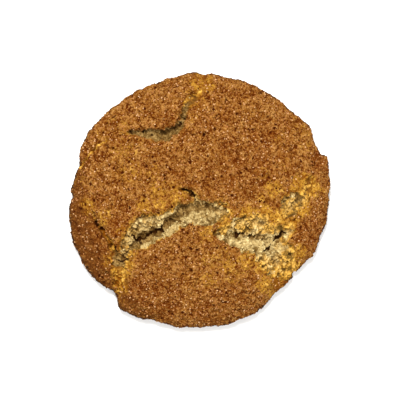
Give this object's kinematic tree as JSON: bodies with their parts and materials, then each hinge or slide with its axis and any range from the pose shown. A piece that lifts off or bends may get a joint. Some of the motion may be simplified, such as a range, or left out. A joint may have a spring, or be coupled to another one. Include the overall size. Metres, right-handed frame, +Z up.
{
  "type": "snickerdoodle",
  "caption": "Thick round snickerdoodle with a cinnamon-sugar crust broken into plates, pale torn crumb in the cracks between them, rounded uneven edges and a flat base.",
  "frame": {"origin": "on the surface the biscuit rests on, under the middle of its outline as seen from above", "axes": "+Z up through the biscuit's thickness, from the flat base to the cracked crust; +Y towards the picture's top edge and +X towards its right edge"},
  "size_m": [0.091, 0.0892, 0.0134],
  "materials": {
    "baked_dough": "matte baked dough with a gritty cinnamon-sugar crust"
  },
  "bodies": {
    "root": {"biscuit": "baked_dough"}
  },
  "joints": []
}
